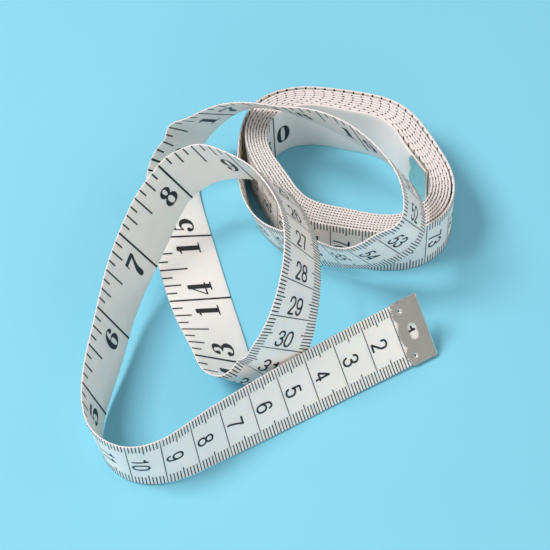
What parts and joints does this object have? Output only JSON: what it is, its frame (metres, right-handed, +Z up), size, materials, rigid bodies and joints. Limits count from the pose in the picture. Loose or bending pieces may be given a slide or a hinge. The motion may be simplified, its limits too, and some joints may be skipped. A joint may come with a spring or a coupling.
{
  "type": "soft tape measure",
  "caption": "Soft tailor's tape measure with folded metal tips, lying in a loose oval roll with its free end pulled out in upright loops.",
  "frame": {"origin": "under the middle of the whole layout, on the table", "axes": "+Z up, +Y from the loose zero end at the front to the roll at the back, +X to the right"},
  "size_m": [0.1148, 0.132, 0.0448],
  "materials": {
    "tape": "white plastic-coated woven tape, satin, printed in black",
    "tip": "plated pressed sheet metal, satin"
  },
  "bodies": {
    "root": {"tape": "tape", "zero_end_tip": "tip", "far_end_tip": "tip"}
  },
  "joints": []
}
